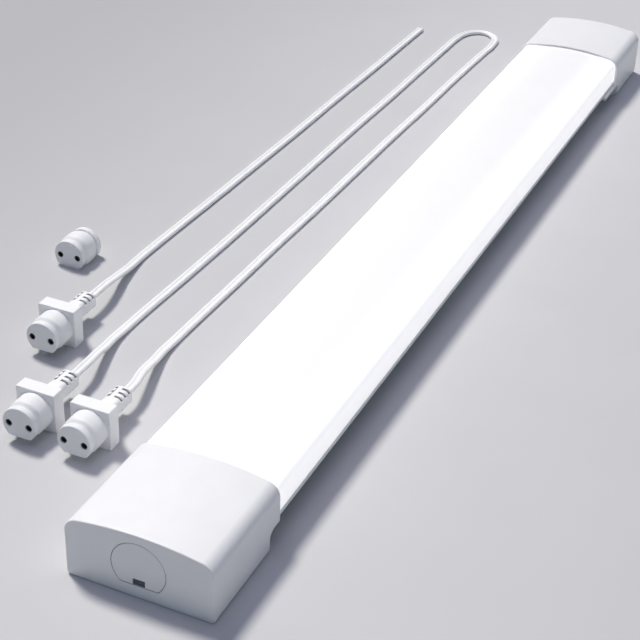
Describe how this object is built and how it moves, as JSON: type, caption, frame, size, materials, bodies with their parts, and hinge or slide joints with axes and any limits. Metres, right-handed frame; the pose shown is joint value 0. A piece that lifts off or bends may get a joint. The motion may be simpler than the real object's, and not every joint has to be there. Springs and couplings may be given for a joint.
{
  "type": "linkable shop light",
  "caption": "Linkable wraparound shop light with an opal crowned diffuser, hooded end caps, covered end sockets, a power cord, a linking cord and a coupler.",
  "frame": {"origin": "middle of the base tray's flat back face; the feet of the two end caps stand 15 mm below it, on the surface the light lies on", "axes": "+X along the light, from the near end cap to the far one; +Y across it, towards the loose cord sets; +Z out of the diffuser"},
  "size_m": [0.9406, 0.3057, 0.0462],
  "materials": {
    "tray_paint": "satin powder coat",
    "opal_diffuser": "translucent opal, softly lit",
    "cap_plastic": "fine moulded satin",
    "cover_plastic": "fine moulded satin",
    "socket_plastic": "moulded satin",
    "pin_metal": "nickel plated",
    "terminal_plastic": "semi-gloss",
    "screw_steel": "zinc plated",
    "board_white": "white solder mask on aluminium",
    "light_chip": "phosphor filled",
    "link_plastic": "moulded",
    "circuit_board": "lacquered laminate",
    "ferrite": "ferrite with wound tape",
    "capacitor_sleeve": "shrink sleeve",
    "enamelled_copper": "enamelled winding",
    "fuse_glass": "clear with plated ends",
    "rectifier_black": "moulded epoxy",
    "insulator_sheet": "pressed sheet",
    "spacer_nylon": "natural nylon",
    "lead_insulation": "wire insulation",
    "wire_insulation": "wire insulation",
    "nose_plastic": "moulded satin",
    "grip_plastic": "soft moulded satin",
    "contact_brass": "turned",
    "cord_plastic": "smooth flexible jacket"
  },
  "bodies": {
    "light": {"base_tray": "tray_paint", "diffuser": "opal_diffuser", "near_end_cap": "cap_plastic", "far_end_cap": "cap_plastic", "near_socket_body": "socket_plastic", "far_socket_body": "socket_plastic", "near_contact_pins": "pin_metal", "far_contact_pins": "pin_metal", "near_terminal_block": "terminal_plastic", "far_terminal_block": "terminal_plastic", "socket_screws": "screw_steel", "cap_screws": "screw_steel", "near_left_light_board": "board_white", "near_right_light_board": "board_white", "far_left_light_board": "board_white", "far_right_light_board": "board_white", "near_left_light_chips": "light_chip", "near_right_light_chips": "light_chip", "far_left_light_chips": "light_chip", "far_right_light_chips": "light_chip", "board_links": "link_plastic", "board_screws": "screw_steel", "driver_board": "circuit_board", "driver_transformer": "ferrite", "driver_capacitors": "capacitor_sleeve", "driver_choke": "enamelled_copper", "driver_fuse": "fuse_glass", "driver_rectifier": "rectifier_black", "driver_insulator": "insulator_sheet", "driver_spacers": "spacer_nylon", "driver_screws": "screw_steel", "mains_leads": "lead_insulation", "through_wires": "wire_insulation", "light_leads": "wire_insulation"},
    "near_cover": {"near_socket_cover": "cover_plastic"},
    "far_cover": {"far_socket_cover": "cover_plastic"},
    "coupler": {"coupler_body": "nose_plastic", "coupler_contacts": "contact_brass"},
    "power_set": {"power_connector_nose": "nose_plastic", "power_connector_grip": "grip_plastic", "power_connector_contacts": "contact_brass", "power_cord": "cord_plastic"},
    "link_set": {"link_connector_a_nose": "nose_plastic", "link_connector_a_grip": "grip_plastic", "link_connector_a_contacts": "contact_brass", "link_connector_b_nose": "nose_plastic", "link_connector_b_grip": "grip_plastic", "link_connector_b_contacts": "contact_brass", "link_cord": "cord_plastic"}
  },
  "joints": [
    {"name": "near_cover_pull", "type": "slide", "parent": "light", "child": "near_cover", "axis": [-1, 0, 0], "range_m": [0, 0.03]},
    {"name": "far_cover_pull", "type": "slide", "parent": "light", "child": "far_cover", "axis": [1, 0, 0], "range_m": [0, 0.03]},
    {"name": "coupler_lift", "type": "slide", "parent": "light", "child": "coupler", "axis": [0, 0, 1], "range_m": [0, 0.1]},
    {"name": "power_cord_lift", "type": "slide", "parent": "light", "child": "power_set", "axis": [0, 0, 1], "range_m": [0, 0.1]},
    {"name": "link_cord_lift", "type": "slide", "parent": "light", "child": "link_set", "axis": [0, 0, 1], "range_m": [0, 0.1]}
  ]
}
